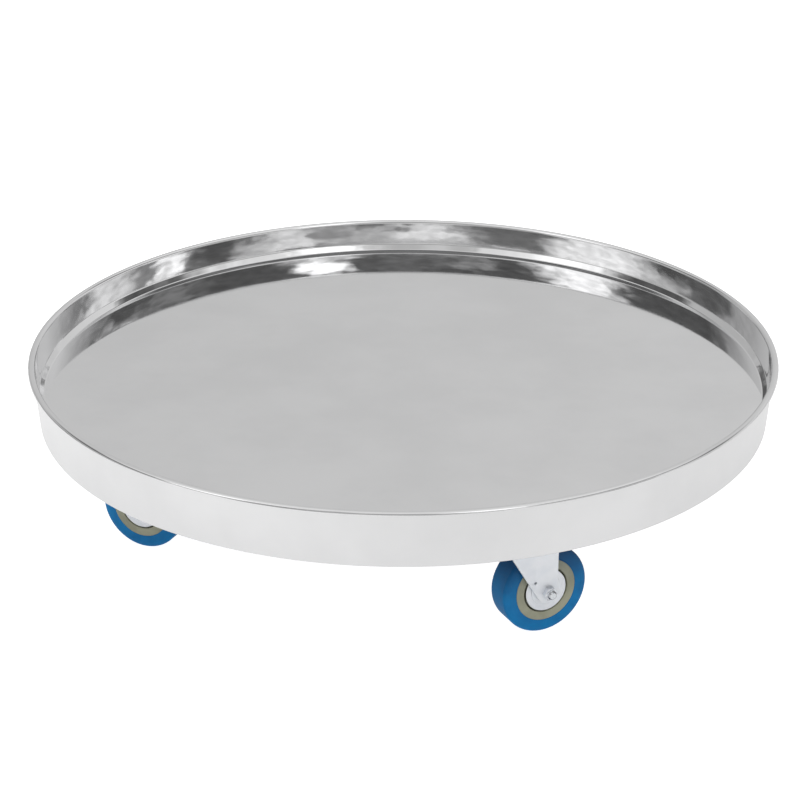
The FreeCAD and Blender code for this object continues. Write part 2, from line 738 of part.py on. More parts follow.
def build_wheel(wheel, wheel_place):
    """The tyre, the moulded core it is bonded to, and the two bushes that run on the sleeve."""
    half_width = "wheel_width / 2"
    seat = "core_radius + seat_gap"
    rib_seat = "core_radius + core_rib + seat_gap"
    tyre = turned(wheel + "_tyre", [mirror_corners([
        (rib_seat, "core_rib_width / 2 + seat_gap"),
        (seat, "core_rib_width / 2 + seat_gap"),
        (seat, half_width),
        ("side_radius", half_width),
        ("wheel_radius", "tread_width / 2"),
    ])], plane="XY_Plane", **wheel_place)
    for radius, place, bend in (("wheel_radius", "tread_width / 2", "tread_round"),
                                ("side_radius", half_width, "side_round")):
        def shoulder(edge, radius=radius, place=place):
            return ring_edge(radius, place, "y")(edge) or ring_edge(radius, "-" + place, "y")(edge)
        round_edges(tyre, bend, shoulder)

    core = turned(wheel + "_wheel_core", [mirror_corners([
        ("bush_radius + seat_gap", "hub_width / 2"),
        ("hub_radius", "hub_width / 2"),
        ("hub_radius", "core_web / 2"),
        ("core_rim_inner", "core_web / 2"),
        ("core_rim_inner", half_width),
        ("core_radius", half_width),
        ("core_radius", "core_rib_width / 2"),
        ("core_radius + core_rib", "core_rib_width / 2"),
    ])], plane="XY_Plane", **wheel_place)

    bushes = new_body(wheel + "_wheel_bushes", **wheel_place)
    flange_in = "hub_width / 2"
    profile = new_sketch(bushes, "XY_Plane")
    outline(profile, [
        ("sleeve_radius + bush_play", flange_in + " - bush_length"),
        ("bush_radius", flange_in + " - bush_length"),
        ("bush_radius", flange_in),
        ("bush_flange_radius", flange_in),
        ("bush_flange_radius", flange_in + " + bush_flange"),
        ("sleeve_radius + bush_play", flange_in + " + bush_flange"),
    ])
    mirrored(bushes, [spin(bushes, profile)], "XZ_Plane")
    return [tyre, core, bushes]


def build_caster(corner, bearing):
    """One caster at that bearing around the tray, its wheel trailing at its heading."""
    heading = corner + "_heading"
    swivel_x = "caster_circle * cos(%d deg)" % bearing
    swivel_y = "caster_circle * sin(%d deg)" % bearing
    fixed = {"x": swivel_x, "y": swivel_y}
    swivel = dict(fixed, turn=heading)
    wheel = {
        "x": "%s + trail * cos(%s * 1 deg)" % (swivel_x, heading),
        "y": "%s + trail * sin(%s * 1 deg)" % (swivel_y, heading),
        "z": "wheel_radius",
        "turn": heading,
    }
    return [
        build_top_plate(corner + "_top_plate", fixed),
        build_king_pin(corner + "_king_pin", fixed),
        build_race_cup(corner + "_race_cup", fixed),
        build_balls(corner + "_swivel_balls", swivel),
        build_fork(corner + "_fork", swivel),
        *build_axle(corner, wheel),
        *build_wheel(corner, wheel),
    ]


# ---------------------------------------------------------------- build, check, export

def check(pieces):
    """Stops on a failed object, a cut that removed nothing, or a piece that isn't sound."""
    for item in doc.Objects:
        if "Invalid" in item.State or "Error" in item.State:
            raise RuntimeError("%s failed: %s" % (item.Label, item.State))
        if item.TypeId in ("PartDesign::Pocket", "PartDesign::Groove"):
            if item.Shape.Volume > item.BaseFeature.Shape.Volume - 0.001:
                raise RuntimeError("%s cut nothing" % item.Label)
    for piece in pieces:
        if piece.Shape.isNull() or not piece.Shape.isValid() or not piece.Shape.Solids:
            raise RuntimeError("%s has no sound shape" % piece.Label)


pieces = [build_pan(), build_skirt(), *build_channels(), *build_fixings()]
for corner, bearing in (("right", 0), ("rear", 90), ("left", 180), ("front", 270)):
    pieces += build_caster(corner, bearing)
doc.recompute()
check(pieces)

os.makedirs("parts", exist_ok=True)
for piece in pieces:
    piece.Shape.exportStep("parts/%s.step" % piece.Label)
    print("%-24s solids %2d  volume %.0f" % (piece.Label, len(piece.Shape.Solids), piece.Shape.Volume))
print(len(pieces), "pieces")
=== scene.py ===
import json
import math

import bmesh
import bpy
from mathutils import Matrix, Vector


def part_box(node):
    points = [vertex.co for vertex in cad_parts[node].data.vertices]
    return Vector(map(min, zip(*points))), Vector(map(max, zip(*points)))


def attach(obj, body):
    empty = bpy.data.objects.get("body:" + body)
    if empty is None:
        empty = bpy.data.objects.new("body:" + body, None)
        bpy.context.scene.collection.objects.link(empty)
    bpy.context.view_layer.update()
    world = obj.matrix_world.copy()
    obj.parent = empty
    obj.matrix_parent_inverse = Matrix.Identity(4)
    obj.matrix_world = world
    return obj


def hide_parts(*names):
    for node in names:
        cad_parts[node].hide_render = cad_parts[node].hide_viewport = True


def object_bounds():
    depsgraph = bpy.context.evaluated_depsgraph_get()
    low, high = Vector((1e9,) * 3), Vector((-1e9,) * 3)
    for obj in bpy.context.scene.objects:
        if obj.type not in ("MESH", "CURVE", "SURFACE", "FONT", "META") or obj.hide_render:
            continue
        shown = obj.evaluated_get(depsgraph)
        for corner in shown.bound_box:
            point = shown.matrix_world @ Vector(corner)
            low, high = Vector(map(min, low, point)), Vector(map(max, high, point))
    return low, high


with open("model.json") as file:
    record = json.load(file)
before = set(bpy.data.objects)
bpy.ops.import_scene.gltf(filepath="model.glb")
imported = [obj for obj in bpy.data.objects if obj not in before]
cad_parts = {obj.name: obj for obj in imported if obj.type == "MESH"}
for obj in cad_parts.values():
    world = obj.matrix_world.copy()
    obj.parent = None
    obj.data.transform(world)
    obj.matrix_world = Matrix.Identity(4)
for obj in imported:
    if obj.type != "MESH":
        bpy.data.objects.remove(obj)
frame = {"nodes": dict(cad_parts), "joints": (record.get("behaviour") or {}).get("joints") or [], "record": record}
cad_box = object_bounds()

# Drum dolly.  Metres, +Z up, in the CAD frame.  The CAD nodes hold the structure; the pan, the skirt
# and the turned parts of each wheel are rebuilt here as finer meshes of the same shape.

MM = 0.001
CORNERS = ("right", "rear", "left", "front")
FULL_TURN = 2 * math.pi
UPWARD = (0.0, 0.0, 1.0)
NOISE_RANGE = (0.3, 0.7)

# sizes shared with the CAD model
LIP_WIDTH = 6.0 * MM
LIP_DROP = 3.2 * MM
LIP_INNER_BEND = 3.0 * MM
LIP_OUTER_BEND = 2.4 * MM
WALL_LEAN = 3.0 * MM
WELL_DEPTH = 28.5 * MM
PAN_SHEET = 1.2 * MM
SKIRT_SHEET = 1.0 * MM
SKIRT_FOOT = 317.6 * MM
SKIRT_GAP = 0.05 * MM

# camera
VIEW_AZIMUTH = math.radians(-17.0)
VIEW_ELEVATION = math.radians(22.795)
VIEW_DISTANCE = 1.9513
VIEW_TILT_DOWN = math.radians(1.4395)
VIEW_PAN_LEFT = math.radians(0.082)
LENS = 100.35
SENSOR = 36.0


# ---------------------------------------------------------------- node trees

class Graph:
    """Short calls for wiring one shader node tree."""

    def __init__(self, tree):
        self.tree = tree
        tree.nodes.clear()

    def node(self, kind, inputs=None, **settings):
        """A new node of a kind, with its inputs fed and its settings made."""
        item = self.tree.nodes.new("ShaderNode" + kind)
        for name, setting in settings.items():
            setattr(item, name, setting)
        for name, given in (inputs or {}).items():
            self.feed(item.inputs[name], given)
        return item

    def feed(self, socket, given):
        """Links an output to the socket, or sets the socket to a plain value."""
        if isinstance(given, bpy.types.NodeSocket):
            self.tree.links.new(given, socket)
        else:
            socket.default_value = given

    def math(self, operation, *values):
        """One arithmetic step on single numbers."""
        item = self.tree.nodes.new("ShaderNodeMath")
        item.operation = operation
        for socket, given in zip(item.inputs, values):
            self.feed(socket, given)
        return item.outputs[0]

    def dot(self, vector, direction):
        """How far the vector reaches along a direction."""
        item = self.tree.nodes.new("ShaderNodeVectorMath")
        item.operation = "DOT_PRODUCT"
        self.feed(item.inputs[0], vector)
        self.feed(item.inputs[1], direction)
        return item.outputs["Value"]

    def scaled(self, vector, factors):
        """The vector with each of its parts multiplied."""
        item = self.tree.nodes.new("ShaderNodeVectorMath")
        item.operation = "MULTIPLY"
        self.feed(item.inputs[0], vector)
        self.feed(item.inputs[1], factors)
        return item.outputs[0]

    def ramp(self, value, low, high, start=0.0, end=1.0):
        """A smooth change from start to end as value goes from low to high."""
        item = self.node("MapRange", interpolation_type="SMOOTHSTEP")
        for socket, given in zip(item.inputs, (value, low, high, start, end)):
            self.feed(socket, given)
        return item.outputs[0]

    def spread(self, noise, start=0.0, end=1.0):
        """Noise stretched to run from start to end over the values it mostly takes."""
        return self.ramp(noise, *NOISE_RANGE, start, end)

    def band(self, value, start, full, fade, end):
        """1 where value is between full and fade, 0 below start and above end, smooth between."""
        return self.math("MULTIPLY", self.ramp(value, start, full), self.ramp(value, fade, end, 1.0, 0.0))

    def blend(self, factor, first, second):
        """first where factor is 0, second where it is 1, as single numbers."""
        item = self.node("Mix", data_type="FLOAT")
        for name, given in (("Factor", factor), ("A", first), ("B", second)):
            self.feed(item.inputs[name], given)
        return item.outputs[0]

    def colours(self, factor, first, second):
        """first where factor is 0, second where it is 1, as colours."""
        item = self.node("Mix", data_type="RGBA")
        self.feed(item.inputs[0], factor)
        self.feed(item.inputs[6], (*first, 1.0) if isinstance(first, tuple) else first)
        self.feed(item.inputs[7], (*second, 1.0) if isinstance(second, tuple) else second)
        return item.outputs[2]

    def noise(self, vector, scale, detail=2.0, roughness=0.5):
        """Cloudy noise, finer with a larger scale and rougher with more detail."""
        item = self.node("TexNoise", {"Vector": vector, "Scale": scale, "Detail": detail,
                                      "Roughness": roughness})
        return item.outputs[0]

    def soft_edges(self, radius):
        """The surface normal as if each sharp edge were rounded to that radius."""
        return self.node("Bevel", {"Radius": radius}, samples=6).outputs[0]

    def shade_under(self, low, high, most):
        """The shade under the tray: 0 below the low level, rising to most at the high one."""
        level = self.dot(self.node("NewGeometry").outputs["Position"], UPWARD)
        return self.ramp(level, low, high, 0.0, most)

    def bump(self, height, distance, strength=1.0, normal=None):
        """The surface normal tilted by a height, on top of another normal if one is given."""
        inputs = {"Height": height, "Distance": distance, "Strength": strength}
        if normal is not None:
            inputs["Normal"] = normal
        return self.node("Bump", inputs).outputs[0]


def new_material(name, paint):
    """A material whose principled shader's inputs come from paint(graph, place)."""
    material = bpy.data.materials.new(name)
    material.use_nodes = True
    graph = Graph(material.node_tree)
    place = graph.node("TexCoord").outputs["Object"]
    inputs = paint(graph, place)
    shader = graph.node("BsdfPrincipled", inputs)
    output = graph.node("OutputMaterial")
    graph.tree.links.new(shader.outputs[0], output.inputs["Surface"])
    return material


# ---------------------------------------------------------------- materials

def stainless(waviness, roughness):
    """Polished sheet: slow waves left by pressing, fine polishing lines, faint smudges."""
    def paint(graph, place):
        slow = graph.noise(place, 14.0, 2.0)
        broad = graph.noise(graph.scaled(place, (1.0, 1.0, 1.6)), 50.0, 2.0)
        lines = graph.noise(graph.scaled(place, (60.0, 60.0, 1500.0)), 1.0, 2.0)
        smudge = graph.noise(place, 9.0, 4.0, 0.6)
        normal = graph.bump(slow, waviness * 4.0)
        normal = graph.bump(broad, waviness, normal=normal)
        normal = graph.bump(lines, 0.000002, 0.6, normal)
        rough = graph.ramp(smudge, 0.35, 0.7, roughness * 0.8, roughness * 1.3)
        tint = graph.colours(graph.spread(smudge), (0.82, 0.82, 0.825), (0.87, 0.87, 0.875))
        return {"Base Color": tint, "Metallic": 1.0, "Roughness": rough, "Normal": normal}
    return paint


def zinc(roughness, metallic):
    """Bright zinc plate: bluish white, faintly cloudy and streaked, with a painted highlight that makes the edges
    brighter.
    """
    def paint(graph, place):
        cloud = graph.noise(place, 90.0, 3.0)
        streak = graph.noise(graph.scaled(place, (400.0, 400.0, 60.0)), 1.0, 3.0)
        edge = graph.soft_edges(0.35 * MM)
        true_normal = graph.node("NewGeometry").outputs["Normal"]
        # painted highlight: the colour turns brighter where the rounded edges bend the normal
        painted_edge_highlight = graph.ramp(graph.dot(edge, true_normal), 0.9, 0.995, 1.0, 0.0)
        tint = graph.colours(graph.spread(cloud), (0.87, 0.90, 0.945), (0.93, 0.95, 0.985))
        tint = graph.colours(painted_edge_highlight, tint, (0.95, 0.96, 0.97))
        rough = graph.spread(streak, roughness * 0.85, roughness * 1.15)
        return {"Base Color": tint, "Metallic": metallic, "Roughness": rough,
                "Normal": graph.bump(streak, 0.000004, 0.5, edge)}
    return paint


def rubber(graph, place):
    """Blue elastic rubber: satin, with slight colour change, mould marks, a little dust, and painted shade that
    darkens it towards the top, under the tray.
    """
    cloud = graph.noise(place, 60.0, 3.0)
    grain = graph.noise(place, 1500.0, 3.0)
    dust = graph.noise(place, 220.0, 4.0, 0.65)
    tint = graph.colours(graph.spread(cloud), (0.0, 0.145, 0.38), (0.0, 0.19, 0.47))
    tint = graph.colours(graph.ramp(dust, 0.62, 0.8, 0.0, 0.12), tint, (0.30, 0.36, 0.42))
    # painted shade under the tray: the tyre turns dark navy towards its top
    tint = graph.colours(graph.shade_under(25.0 * MM, 80.0 * MM, 1.0), tint, (0.0, 0.03, 0.10))
    return {"Base Color": tint, "Roughness": graph.spread(cloud, 0.36, 0.48),
            "Specular IOR Level": 0.22, "Normal": graph.bump(grain, 0.00002, 0.5)}


def core_plastic(graph, place):
    """Moulded olive-beige plastic, with painted shade that darkens it towards the top, under the tray."""
    cloud = graph.noise(place, 70.0, 3.0)
    grain = graph.noise(place, 2200.0, 2.0)
    tint = graph.colours(graph.spread(cloud), (0.29, 0.29, 0.205), (0.37, 0.37, 0.27))
    # painted shade under the tray: the core darkens towards its top
    tint = graph.colours(graph.shade_under(25.0 * MM, 75.0 * MM, 0.6), tint, (0.12, 0.14, 0.13))
    return {"Base Color": tint, "Roughness": graph.spread(cloud, 0.42, 0.55),
            "Normal": graph.bump(grain, 0.00002, 0.5)}


def nylon(graph, place):
    """Natural nylon."""
    cloud = graph.noise(place, 200.0, 3.0)
    tint = graph.colours(cloud, (0.70, 0.68, 0.60), (0.78, 0.77, 0.70))
    return {"Base Color": tint, "Roughness": graph.spread(cloud, 0.4, 0.5),
            "Subsurface Weight": 0.1}


def painted_recess_shade(graph, place):
    """Painted shade for the floor of a lock nut's recess: near-black with a fine grain."""
    grain = graph.noise(place, 900.0, 2.0)
    tint = graph.colours(grain, (0.02, 0.022, 0.03), (0.05, 0.052, 0.06))
    return {"Base Color": tint, "Roughness": 0.5}


def mill_sheet(graph, place):
    """Unpolished stainless sheet with its rolling grain."""
    grain = graph.noise(graph.scaled(place, (40.0, 900.0, 900.0)), 1.0, 3.0)
    cloud = graph.noise(place, 25.0, 3.0)
    tint = graph.colours(graph.spread(cloud), (0.52, 0.52, 0.53), (0.62, 0.62, 0.63))
    return {"Base Color": tint, "Metallic": 1.0, "Roughness": graph.spread(grain, 0.28, 0.42),
            "Normal": graph.bump(grain, 0.00001, 0.5, graph.soft_edges(0.5 * MM))}


def weld_metal(graph, place):
    """Weld beads: bright ripples with straw and blue heat tint."""
    heat = graph.noise(place, 160.0, 3.0)
    tint = graph.colours(graph.ramp(heat, 0.35, 0.5), (0.42, 0.42, 0.46), (0.58, 0.52, 0.42))
    tint = graph.colours(graph.ramp(heat, 0.55, 0.7), tint, (0.62, 0.62, 0.63))
    return {"Base Color": tint, "Metallic": 1.0, "Roughness": graph.spread(heat, 0.3, 0.45)}


materials = {
    "polished_stainless": new_material("polished_stainless", stainless(0.00002, 0.06)),
    "pan_wall": new_material("pan_wall", stainless(0.00008, 0.05)),
    "channel_stainless": new_material("channel_stainless", mill_sheet),
    "weld_metal": new_material("weld_metal", weld_metal),
    "zinc_plate": new_material("zinc_plate", zinc(0.33, 0.45)),
    "fastener_zinc": new_material("fastener_zinc", zinc(0.14, 0.9)),
    "bearing_steel": new_material("bearing_steel", zinc(0.14, 1.0)),
    "blue_rubber": new_material("blue_rubber", rubber),
    "core_plastic": new_material("core_plastic", core_plastic),
    "bush_nylon": new_material("bush_nylon", nylon),
    # near-black painted shade for the floor of each lock nut's recess
    "nut_recess_shade": new_material("nut_recess_shade", painted_recess_shade),
}
for entry in frame["record"]["subparts"]:
    node = frame["nodes"][entry["node"]]
    node.data.materials.clear()
    node.data.materials.append(materials[entry["material_slot"]])


# ---------------------------------------------------------------- turned pieces

ON_AXIS = 1e-7
LONG_STRAIGHT = 0.8 * MM
SHARP = math.radians(35)


def rounded(corners, steps):
    """A closed profile from (radius, height, bend) corners, each bend as an arc of that radius."""
    points = []
    count = len(corners)
    for index, (x, y, bend) in enumerate(corners):
        here = Vector((x, y))
        if bend == 0:
            points.append(here)
            continue
        before = (Vector(corners[index - 1][:2]) - here).normalized()
        after = (Vector(corners[(index + 1) % count][:2]) - here).normalized()
        half = before.angle(after) / 2
        middle = here + (before + after).normalized() * (bend / math.sin(half))
        start = here + before * (bend / math.tan(half)) - middle
        sweep = start.angle_signed(here + after * (bend / math.tan(half)) - middle)
        for step in range(steps + 1):
            turn = Matrix.Rotation(-sweep * step / steps, 2)
            points.append(middle + turn @ start)
    return points


def as_points(*pairs):
    """Profile points from pairs of radius and height."""
    return [Vector(pair) for pair in pairs]


def mirror_half(half):
    """A wheel profile from its upper half: the corners, then their mirror images."""
    return half + [(x, -y, bend) for x, y, bend in reversed(half)]


def smooth_by_angle(work):
    """Smooth shading, with edges that turn by more than the sharp angle left sharp."""
    for face in work.faces:
        face.smooth = True
    for edge in work.edges:
        edge.smooth = len(edge.link_faces) == 2 and edge.calc_face_angle(0.0) < SHARP


def finish_mesh(name, work, body, slot, place=None, material=None):
    """A piece from a bmesh, put in place, set to ride on its body and given its slot.

    It gets the slot's own material, unless another is named.
    """
    bmesh.ops.recalc_face_normals(work, faces=work.faces)
    smooth_by_angle(work)
    mesh = bpy.data.meshes.new(name)
    work.to_mesh(mesh)
    work.free()
    if place is not None:
        mesh.transform(place)
    piece = bpy.data.objects.new(name, mesh)
    bpy.context.scene.collection.objects.link(piece)
    mesh.materials.append(materials[material or slot])
    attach(piece, body)
    return piece


def held(profile, margin=0.2 * MM):
    """The profile with points added near both ends of each straight, so that only bends shade as bends."""
    points = []
    for here, after in zip(profile, profile[1:] + profile[:1]):
        points.append(here)
        length = (after - here).length
        near = min(margin, 0.1 * length)
        if length > LONG_STRAIGHT:
            points.append(here.lerp(after, near / length))
            points.append(here.lerp(after, 1 - near / length))
    return points


def lathe(profiles, segments, across=None):
    """A bmesh of closed profiles of (radius, height) points turned about Z.

    With across given, everything beyond a hexagon with its flats that far apart is cut off.
    """
    work = bmesh.new()
    for profile in profiles:
        rings = []
        for point in held(profile):
            if abs(point.x) < ON_AXIS:
                rings.append([work.verts.new((0, 0, point.y))])
                continue
            ring = []
            for step in range(segments):
                turn = FULL_TURN * step / segments
                reach = point.x
                if across is not None:
                    off_flat = turn % (FULL_TURN / 6) - FULL_TURN / 12
                    reach = min(reach, across / 2 / math.cos(off_flat))
                ring.append(work.verts.new((reach * math.cos(turn), reach * math.sin(turn), point.y)))
            rings.append(ring)
        for index, ring in enumerate(rings):
            following = rings[(index + 1) % len(rings)]
            if len(ring) == 1 and len(following) == 1:
                continue
            for step in range(segments):
                after = (step + 1) % segments
                if len(ring) == 1:
                    work.faces.new((ring[0], following[after], following[step]))
                elif len(following) == 1:
                    work.faces.new((ring[step], ring[after], following[0]))
                else:
                    work.faces.new((ring[step], ring[after], following[after], following[step]))
    return work


# ---------------------------------------------------------------- tray

RIM_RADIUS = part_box("tray_pan")[1].x
PAN_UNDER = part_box("tray_pan")[0].z
PAN_TOP = PAN_UNDER + PAN_SHEET
RIM_LEVEL = PAN_TOP + WELL_DEPTH
WALL_TOP = RIM_RADIUS - LIP_WIDTH
WALL_FOOT = WALL_TOP - WALL_LEAN
FOOT_REACH = 3.4 * MM
FOOT_SLOPE = math.radians(38)
FOOT_HIGH_BEND = 3.0 * MM
FOOT_LOW_BEND = 1.6 * MM
SKIRT_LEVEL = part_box("skirt_band")[0].z
WALL_BOW = 0.3 * MM
BOW_STEPS = 16
PAN_EDGE = 0.3 * MM
SKIRT_EDGE = 0.25 * MM
TRAY_SEGMENTS = 720


def bowed(profile, low, high):
    """The profile with its near-upright stretches between two levels bowed out by the wall's bow."""
    points = []
    for here, after in zip(profile, profile[1:] + profile[:1]):
        points.append(here)
        rise = after.y - here.y
        if abs(rise) < 0.5 * (high - low) or abs(after.x - here.x) > 0.5 * abs(rise):
            continue
        for step in range(1, BOW_STEPS):
            part = step / BOW_STEPS
            points.append(here.lerp(after, part) + Vector((WALL_BOW * 4 * part * (1 - part), 0)))
    return points


def foot_corners(off):
    """The low and high corners of the wall's sloped foot, on the pan's face that lies off outward."""
    slope = math.tan(FOOT_SLOPE)
    across = off / math.cos(FOOT_SLOPE)
    low = (WALL_FOOT - FOOT_REACH + across - slope * off, PAN_TOP - off, FOOT_LOW_BEND + off)
    rise = (FOOT_REACH + off - across) / (slope - WALL_LEAN / WELL_DEPTH)
    high = (low[0] + slope * (rise + off), PAN_TOP + rise, FOOT_HIGH_BEND + off)
    return low, high


def build_pan():
    """The tray's pan: flat floor, sloped foot, leaning wall and turned lip."""
    low_under, high_under = foot_corners(PAN_SHEET)
    low_top, high_top = foot_corners(0)
    profile = rounded([
        (0, PAN_UNDER, 0),
        low_under,
        high_under,
        (WALL_TOP + PAN_SHEET, RIM_LEVEL - PAN_SHEET, LIP_INNER_BEND - PAN_SHEET),
        (RIM_RADIUS - PAN_SHEET, RIM_LEVEL - PAN_SHEET, LIP_OUTER_BEND - PAN_SHEET),
        (RIM_RADIUS - PAN_SHEET, RIM_LEVEL - LIP_DROP, PAN_EDGE),
        (RIM_RADIUS, RIM_LEVEL - LIP_DROP, PAN_EDGE),
        (RIM_RADIUS, RIM_LEVEL, LIP_OUTER_BEND),
        (WALL_TOP, RIM_LEVEL, LIP_INNER_BEND),
        high_top,
        low_top,
        (0, PAN_TOP, 0),
    ], steps=12)
    work = lathe([bowed(profile, PAN_TOP, RIM_LEVEL)], TRAY_SEGMENTS)
    pan = finish_mesh("polished_pan", work, "chassis", "polished_stainless")
    # the wall, its foot and the lip have more slow waves than the flat floor
    pan.data.materials.append(materials["pan_wall"])
    flat = WALL_FOOT - FOOT_REACH - FOOT_LOW_BEND * math.tan((math.pi / 2 - FOOT_SLOPE) / 2)
    for face in pan.data.polygons:
        spread = math.hypot(face.center.x, face.center.y)
        face.material_index = 1 if spread > flat + 0.5 * MM else 0
    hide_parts("tray_pan")


def build_skirt():
    """The band under the lip, leaning in a little towards its foot, with eased edges."""
    top_inside = WALL_TOP + PAN_SHEET + SKIRT_GAP
    top_level = RIM_LEVEL - LIP_INNER_BEND
    profile = rounded([
        (SKIRT_FOOT - SKIRT_SHEET, SKIRT_LEVEL, SKIRT_EDGE),
        (SKIRT_FOOT, SKIRT_LEVEL, SKIRT_EDGE),
        (top_inside + SKIRT_SHEET, top_level, SKIRT_EDGE),
        (top_inside, top_level, SKIRT_EDGE),
    ], steps=3)
    work = lathe([profile], TRAY_SEGMENTS)
    skirt = finish_mesh("polished_skirt", work, "chassis", "polished_stainless")
    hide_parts("skirt_band")


build_pan()
build_skirt()


# ---------------------------------------------------------------- wheels

WHEEL_RADIUS = 37.5 * MM
WHEEL_HALF = 12.0 * MM
TREAD_HALF = 11.0 * MM
SHOULDER_RADIUS = 33.0 * MM
CORE_RADIUS = 26.5 * MM
RIB_RADIUS = 28.5 * MM
WEB_HALF = 4.0 * MM
BUSH_RADIUS = 8.0 * MM
AXLE_RADIUS = 3.0 * MM
FIT = 0.02 * MM
WHEEL_SEGMENTS = 160


def wheel_place(corner):
    """The matrix that puts a piece turned about Z on that corner's wheel axle."""
    joint = next(j for j in frame["joints"] if j["name"] == corner + "_wheel_spin")
    axle = Vector(joint["axis"]).normalized()
    ahead = Vector((axle.y, -axle.x, 0))
    turn = Matrix((ahead, -Vector(UPWARD), axle)).transposed().to_4x4()
    return Matrix.Translation(Vector(joint["pos_m"])) @ turn


def build_tyre(corner):
    """The tyre: rounded shoulders, a nearly flat tread, and a groove inside for the core's rib."""
    half = [
        (RIB_RADIUS + FIT, WEB_HALF + FIT, 0),
        (CORE_RADIUS + FIT, WEB_HALF + FIT, 0),
        (CORE_RADIUS + FIT, WHEEL_HALF, 0.3 * MM),
        (SHOULDER_RADIUS, WHEEL_HALF, 6.0 * MM),
        (WHEEL_RADIUS, TREAD_HALF, 3.0 * MM),
    ]
    work = lathe([rounded(mirror_half(half), steps=10)], WHEEL_SEGMENTS)
    tyre = finish_mesh(corner + "_blue_tyre", work, corner + "_wheel", "blue_rubber", wheel_place(corner))
    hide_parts(corner + "_tyre")


def build_core(corner):
    """The moulded core: hub, thin web, outer ring, and a rib that keys into the tyre."""
    hub_radius = 11.5 * MM
    hub_half = 9.9 * MM
    ring_radius = 19.4 * MM
    half = [
        (BUSH_RADIUS + FIT, hub_half, 0.2 * MM),
        (hub_radius, hub_half, 0.5 * MM),
        (hub_radius, WEB_HALF, 0.8 * MM),
        (ring_radius, WEB_HALF, 0.8 * MM),
        (ring_radius, WHEEL_HALF, 0.8 * MM),
        (CORE_RADIUS, WHEEL_HALF, 0.4 * MM),
        (CORE_RADIUS, WEB_HALF, 0),
        (RIB_RADIUS, WEB_HALF, 0),
    ]
    work = lathe([rounded(mirror_half(half), steps=4)], WHEEL_SEGMENTS)
    core = finish_mesh(corner + "_moulded_core", work, corner + "_wheel", "core_plastic", wheel_place(corner))
    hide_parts(corner + "_wheel_core")


def build_hub_discs(corner):
    """The two pressed discs beside the wheel: raised boss, sloped step, shallow groove, rolled rim."""
    sheet = 0.9 * MM
    bore = AXLE_RADIUS + 0.1 * MM
    boss = 13.95 * MM
    boss_radius = 6.5 * MM
    step_radius = 9.5 * MM
    level = 12.4 * MM
    groove_radius = 12.6 * MM
    groove_half = 1.0 * MM
    rim_radius = 18.0 * MM
    outer = rounded([
        (bore, boss, 0),
        (boss_radius, boss, 0.8 * MM),
        (step_radius, level, 0.8 * MM),
        (groove_radius - groove_half, level, 0.5 * MM),
        (groove_radius, level - 0.35 * MM, 0.5 * MM),
        (groove_radius + groove_half, level, 0.5 * MM),
        (rim_radius, level, 0.4 * MM),
        (rim_radius, level - sheet, 0.4 * MM),
        (step_radius - sheet / 2, level - sheet, 0.8 * MM),
        (boss_radius - sheet / 2, boss - sheet, 0.8 * MM),
        (bore, boss - sheet, 0),
    ], steps=5)
    inner = [Vector((point.x, -point.y)) for point in reversed(outer)]
    work = lathe([outer, inner], WHEEL_SEGMENTS)
    discs = finish_mesh(corner + "_pressed_discs", work, corner + "_swivel", "zinc_plate",
                        wheel_place(corner))
    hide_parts(corner + "_hub_discs")


# ---------------------------------------------------------------- axle bolts and nuts

LEG_OUTSIDE = 16.5 * MM
HEAD_HEIGHT = 4.0 * MM
HEX_ACROSS = 10.0 * MM
HEX_CORNER = HEX_ACROSS / math.sqrt(3)
HEX_FACE = 4.8 * MM
HEX_SLOPE = 2.2
HEX_SEGMENTS = 96
DISH_RADIUS = 3.9 * MM
DISH_EDGE = 0.4 * MM
DISH_DEPTH = 0.15 * MM
THREAD_PITCH = 1.0 * MM
THREAD_DEPTH = 0.4 * MM
THREAD_CREST = 0.15
THREAD_ROOT = 0.55
TIP_CHAMFER = 0.3 * MM


def hexagon_end(level, way, steps=6):
    """Profile points of a hexagon's chamfered end: the free face is at level and looks along way."""
    deepest = (HEX_CORNER - HEX_FACE) / HEX_SLOPE
    points = []
    for step in range(steps, -1, -1):
        depth = deepest * step / steps
        points.append(Vector((HEX_FACE + HEX_SLOPE * depth, level - way * depth)))
    return points


def head_end(level, way):
    """Profile points of a bolt head's free end, from the hexagon's corner to the dish on the axis."""
    dish = level - way * DISH_DEPTH
    middle = as_points((DISH_RADIUS, level), (DISH_RADIUS - DISH_EDGE, dish), (0, dish))
    return hexagon_end(level, way) + middle


def thread(radius, start, end):
    """Profile points of a threaded stretch from start to a chamfered end, along the axis."""
    way = 1 if end > start else -1
    turns = int(abs(end - start) / THREAD_PITCH)
    points = []
    for turn in range(turns):
        base = start + way * turn * THREAD_PITCH
        points.append(Vector((radius, base)))
        points.append(Vector((radius, base + way * THREAD_PITCH * THREAD_CREST)))
        points.append(Vector((radius - THREAD_DEPTH, base + way * THREAD_PITCH * THREAD_ROOT)))
    points.append(Vector((radius, start + way * turns * THREAD_PITCH)))
    points.append(Vector((radius, end - way * TIP_CHAMFER)))
    points.append(Vector((radius - THREAD_DEPTH, end)))
    return points


def build_axle_bolt(corner):
    """The axle bolt: hexagon head against one leg, thread out beyond the other."""
    tip = -(LEG_OUTSIDE + 7.5 * MM)
    thread_start = tip + 9.0 * MM
    profile = [Vector((0, tip))] + list(reversed(thread(AXLE_RADIUS, thread_start, tip)))
    profile += as_points((AXLE_RADIUS, LEG_OUTSIDE), (HEX_CORNER, LEG_OUTSIDE))
    profile += head_end(LEG_OUTSIDE + HEAD_HEIGHT, 1)
    work = lathe([profile], HEX_SEGMENTS, HEX_ACROSS)
    bolt = finish_mesh(corner + "_threaded_bolt", work, corner + "_swivel", "fastener_zinc",
                       wheel_place(corner))
    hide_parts(corner + "_axle_bolt")


